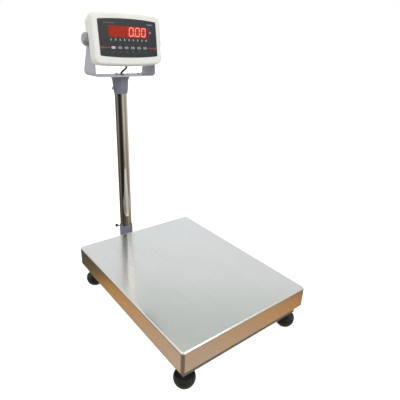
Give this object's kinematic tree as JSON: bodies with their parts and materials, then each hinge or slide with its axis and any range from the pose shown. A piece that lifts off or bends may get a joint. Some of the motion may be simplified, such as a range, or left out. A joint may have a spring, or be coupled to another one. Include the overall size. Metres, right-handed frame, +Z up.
{
  "type": "animal weighing scale",
  "caption": "Bench scale with a flat stainless pan on levelling feet and a rear column that carries a tilting LED indicator head.",
  "frame": {"origin": "centre of the weighing pan's top face", "axes": "+Z up, out of the pan; +Y from the front edge towards the column; +X to the right of a person who reads the display"},
  "size_m": [0.39, 0.632, 0.754],
  "materials": {
    "stainless_sheet": "satin stainless sheet",
    "rubber": "matt black rubber",
    "foot_rubber": "moulded black rubber",
    "frame_paint": "grey paint on welded tube",
    "zinc_steel": "zinc plated",
    "cell_aluminium": "machined and anodised",
    "black_plastic": "moulded black plastic",
    "vial_glass": "green fluid under clear plastic",
    "cable_jacket": "black cable jacket",
    "socket_paint": "blue-grey paint on welded steel",
    "chrome_tube": "polished chrome",
    "cap_paint": "dark blue-grey, slightly glossy",
    "bracket_paint": "light blue-grey powder coat",
    "knob_plastic": "grey moulded plastic",
    "ivory_plastic": "ivory ABS with a fine texture",
    "insert_brass": "turned brass",
    "overlay_film": "black printed polycarbonate",
    "window_film": "red filter",
    "led_module": "red seven-segment modules",
    "board_green": "circuit board",
    "nylon": "white nylon",
    "battery_case": "battery case",
    "key_film": "embossed membrane key"
  },
  "bodies": {
    "base": {"base_frame": "frame_paint", "load_cell": "cell_aluminium", "lower_cell_spacer": "zinc_steel", "lower_cell_bolts": "zinc_steel", "overload_stops": "zinc_steel", "overload_nuts": "zinc_steel", "foot_lock_nuts": "zinc_steel", "level_vial_cup": "black_plastic", "level_vial_glass": "vial_glass", "load_cell_cable": "cable_jacket", "column_bracket": "socket_paint", "column_bracket_bolts": "zinc_steel"},
    "platform": {"top_frame": "frame_paint", "pan_bumpers": "rubber", "upper_cell_bolts": "zinc_steel", "upper_cell_spacer": "zinc_steel"},
    "pan": {"weighing_pan": "stainless_sheet"},
    "stem_front_left": {"foot_stem_front_left": "zinc_steel"},
    "foot_front_left": {"foot_pad_front_left": "foot_rubber"},
    "stem_front_right": {"foot_stem_front_right": "zinc_steel"},
    "foot_front_right": {"foot_pad_front_right": "foot_rubber"},
    "stem_rear_left": {"foot_stem_rear_left": "zinc_steel"},
    "foot_rear_left": {"foot_pad_rear_left": "foot_rubber"},
    "stem_rear_right": {"foot_stem_rear_right": "zinc_steel"},
    "foot_rear_right": {"foot_pad_rear_right": "foot_rubber"},
    "column": {"column_tube": "chrome_tube"},
    "clamp_screw": {"clamp_stud": "zinc_steel"},
    "clamp_knob": {"clamp_ball": "black_plastic"},
    "swivel": {"column_cap": "cap_paint", "cap_screw": "zinc_steel", "head_bracket": "bracket_paint", "bracket_screws": "zinc_steel", "cable_grommet": "rubber", "indicator_cable": "cable_jacket", "pivot_washers": "rubber"},
    "head": {"front_shell": "ivory_plastic", "rear_shell": "ivory_plastic", "shell_gasket": "rubber", "shell_screws": "zinc_steel", "pivot_inserts": "insert_brass", "keypad_overlay": "overlay_film", "display_window": "window_film", "led_digits": "led_module", "display_board": "board_green", "board_standoffs": "nylon", "main_board": "board_green", "battery": "battery_case", "cable_gland": "black_plastic", "power_jack": "black_plastic"},
    "stud_left": {"knob_stud_left": "zinc_steel"},
    "stud_right": {"knob_stud_right": "zinc_steel"},
    "thumb_knob_left": {"knob_left": "knob_plastic"},
    "thumb_knob_right": {"knob_right": "knob_plastic"},
    "button_1": {"key_1": "key_film"},
    "button_2": {"key_2": "key_film"},
    "button_3": {"key_3": "key_film"},
    "button_4": {"key_4": "key_film"},
    "button_5": {"key_5": "key_film"},
    "button_6": {"key_6": "key_film"}
  },
  "joints": [
    {"name": "platform_load", "type": "slide", "parent": "base", "child": "platform", "axis": [0, 0, 1], "range_m": [-0.0005, 0], "deforming": ["load_cell"]},
    {"name": "pan_lift", "type": "slide", "parent": "platform", "child": "pan", "axis": [0, 0, 1], "range_m": [0, 0.12]},
    {"name": "stem_front_left_slide", "type": "slide", "parent": "base", "child": "stem_front_left", "axis": [0, 0, -1], "range_m": [-0.003, 0.006]},
    {"name": "foot_front_left_turn", "type": "hinge", "parent": "stem_front_left", "child": "foot_front_left", "pos_m": [-0.166, -0.231, -0.1], "axis": [0, 0, -1], "range_deg": [-715, 1435]},
    {"name": "stem_front_right_slide", "type": "slide", "parent": "base", "child": "stem_front_right", "axis": [0, 0, -1], "range_m": [-0.003, 0.006]},
    {"name": "foot_front_right_turn", "type": "hinge", "parent": "stem_front_right", "child": "foot_front_right", "pos_m": [0.166, -0.231, -0.1], "axis": [0, 0, -1], "range_deg": [-715, 1435]},
    {"name": "stem_rear_left_slide", "type": "slide", "parent": "base", "child": "stem_rear_left", "axis": [0, 0, -1], "range_m": [-0.003, 0.006]},
    {"name": "foot_rear_left_turn", "type": "hinge", "parent": "stem_rear_left", "child": "foot_rear_left", "pos_m": [-0.166, 0.231, -0.1], "axis": [0, 0, -1], "range_deg": [-715, 1435]},
    {"name": "stem_rear_right_slide", "type": "slide", "parent": "base", "child": "stem_rear_right", "axis": [0, 0, -1], "range_m": [-0.003, 0.006]},
    {"name": "foot_rear_right_turn", "type": "hinge", "parent": "stem_rear_right", "child": "foot_rear_right", "pos_m": [0.166, 0.231, -0.1], "axis": [0, 0, -1], "range_deg": [-715, 1435]},
    {"name": "column_lift", "type": "slide", "parent": "base", "child": "column", "axis": [0, 0, 1], "range_m": [0, 0.05]},
    {"name": "clamp_screw_slide", "type": "slide", "parent": "base", "child": "clamp_screw", "axis": [-0.7071, 0.7071, 0], "range_m": [0, 0.00198]},
    {"name": "clamp_knob_turn", "type": "hinge", "parent": "clamp_screw", "child": "clamp_knob", "pos_m": [-0.02334, 0.36334, -0.02], "axis": [-0.7071, 0.7071, 0], "range_deg": [0, 715]},
    {"name": "head_swivel", "type": "hinge", "parent": "column", "child": "swivel", "pos_m": [0, 0.34, 0.45], "axis": [0, 0, 1], "range_deg": [-90, 90]},
    {"name": "head_tilt", "type": "hinge", "parent": "swivel", "child": "head", "pos_m": [0, 0.323, 0.567], "axis": [-1, 0, 0], "range_deg": [-3, 55], "deforming": ["indicator_cable"]},
    {"name": "stud_left_slide", "type": "slide", "parent": "head", "child": "stud_left", "axis": [-1, 0, 0], "range_m": [0, 0.00198]},
    {"name": "knob_left_turn", "type": "hinge", "parent": "stud_left", "child": "thumb_knob_left", "pos_m": [-0.1, 0.323, 0.567], "axis": [-1, 0, 0], "range_deg": [0, 715]},
    {"name": "stud_right_slide", "type": "slide", "parent": "head", "child": "stud_right", "axis": [1, 0, 0], "range_m": [0, 0.00198]},
    {"name": "knob_right_turn", "type": "hinge", "parent": "stud_right", "child": "thumb_knob_right", "pos_m": [0.1, 0.323, 0.567], "axis": [1, 0, 0], "range_deg": [0, 715]},
    {"name": "button_1_press", "type": "slide", "parent": "head", "child": "button_1", "axis": [0, 0.9925, -0.1219], "range_m": [0, 0.0004], "stiffness_N_per_m": 80, "springref_m": -0.002},
    {"name": "button_2_press", "type": "slide", "parent": "head", "child": "button_2", "axis": [0, 0.9925, -0.1219], "range_m": [0, 0.0004], "stiffness_N_per_m": 80, "springref_m": -0.002},
    {"name": "button_3_press", "type": "slide", "parent": "head", "child": "button_3", "axis": [0, 0.9925, -0.1219], "range_m": [0, 0.0004], "stiffness_N_per_m": 80, "springref_m": -0.002},
    {"name": "button_4_press", "type": "slide", "parent": "head", "child": "button_4", "axis": [0, 0.9925, -0.1219], "range_m": [0, 0.0004], "stiffness_N_per_m": 80, "springref_m": -0.002},
    {"name": "button_5_press", "type": "slide", "parent": "head", "child": "button_5", "axis": [0, 0.9925, -0.1219], "range_m": [0, 0.0004], "stiffness_N_per_m": 80, "springref_m": -0.002},
    {"name": "button_6_press", "type": "slide", "parent": "head", "child": "button_6", "axis": [0, 0.9925, -0.1219], "range_m": [0, 0.0004], "stiffness_N_per_m": 80, "springref_m": -0.002}
  ],
  "couplings": [
    {"joint": "stem_front_left_slide", "follows": "foot_front_left_turn", "m_per_rad": 0.00023873},
    {"joint": "stem_front_right_slide", "follows": "foot_front_right_turn", "m_per_rad": 0.00023873},
    {"joint": "stem_rear_left_slide", "follows": "foot_rear_left_turn", "m_per_rad": 0.00023873},
    {"joint": "stem_rear_right_slide", "follows": "foot_rear_right_turn", "m_per_rad": 0.00023873},
    {"joint": "clamp_knob_turn", "follows": "clamp_screw_slide", "rad_per_m": 6283.2},
    {"joint": "knob_left_turn", "follows": "stud_left_slide", "rad_per_m": 6283.2},
    {"joint": "knob_right_turn", "follows": "stud_right_slide", "rad_per_m": 6283.2}
  ]
}
